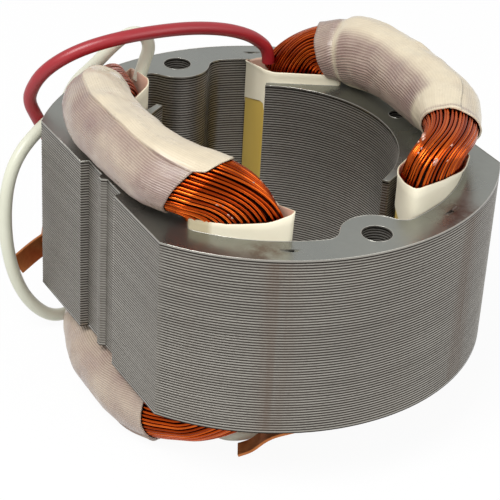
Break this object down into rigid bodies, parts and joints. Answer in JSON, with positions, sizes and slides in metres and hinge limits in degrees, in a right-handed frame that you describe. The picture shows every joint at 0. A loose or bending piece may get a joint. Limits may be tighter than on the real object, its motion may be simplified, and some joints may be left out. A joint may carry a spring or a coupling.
{
  "type": "stator lamination stack",
  "caption": "Two-pole wound stator: stacked steel laminations with two copper coils, taped end turns, slot liners and a red and a white lead.",
  "frame": {"origin": "on the rotor bore's axis, at the level of the lower end turns' lowest points, on which the part stands", "axes": "+Z along the rotor bore's axis, +X through the two bolt holes, +Y through the middle of the poles"},
  "size_m": [0.08, 0.0743, 0.0597],
  "materials": {
    "core_steel": "rolled sheet with punched edges",
    "enamelled_copper": "varnished enamel",
    "slot_paper": "matt insulating paper",
    "closing_strip": "matt insulating strip",
    "cotton_tape": "varnished woven tape",
    "red_insulation": "satin",
    "white_insulation": "satin",
    "bare_copper": "tarnished"
  },
  "bodies": {
    "root": {"lamination_pack": "core_steel", "end_lamination_top": "core_steel", "end_lamination_bottom": "core_steel", "coil_left": "enamelled_copper", "coil_right": "enamelled_copper", "slot_liner_front_left": "slot_paper", "slot_closing_strip_front_left": "closing_strip", "slot_liner_front_right": "slot_paper", "slot_closing_strip_front_right": "closing_strip", "slot_liner_back_left": "slot_paper", "slot_closing_strip_back_left": "closing_strip", "slot_liner_back_right": "slot_paper", "slot_closing_strip_back_right": "closing_strip", "tape_wrap_top_left": "cotton_tape", "tape_wrap_top_right": "cotton_tape", "tape_wrap_bottom_left": "cotton_tape", "tape_wrap_bottom_right": "cotton_tape", "red_lead": "red_insulation", "white_lead": "white_insulation", "red_lead_terminal": "bare_copper", "white_lead_terminal": "bare_copper"}
  },
  "joints": []
}
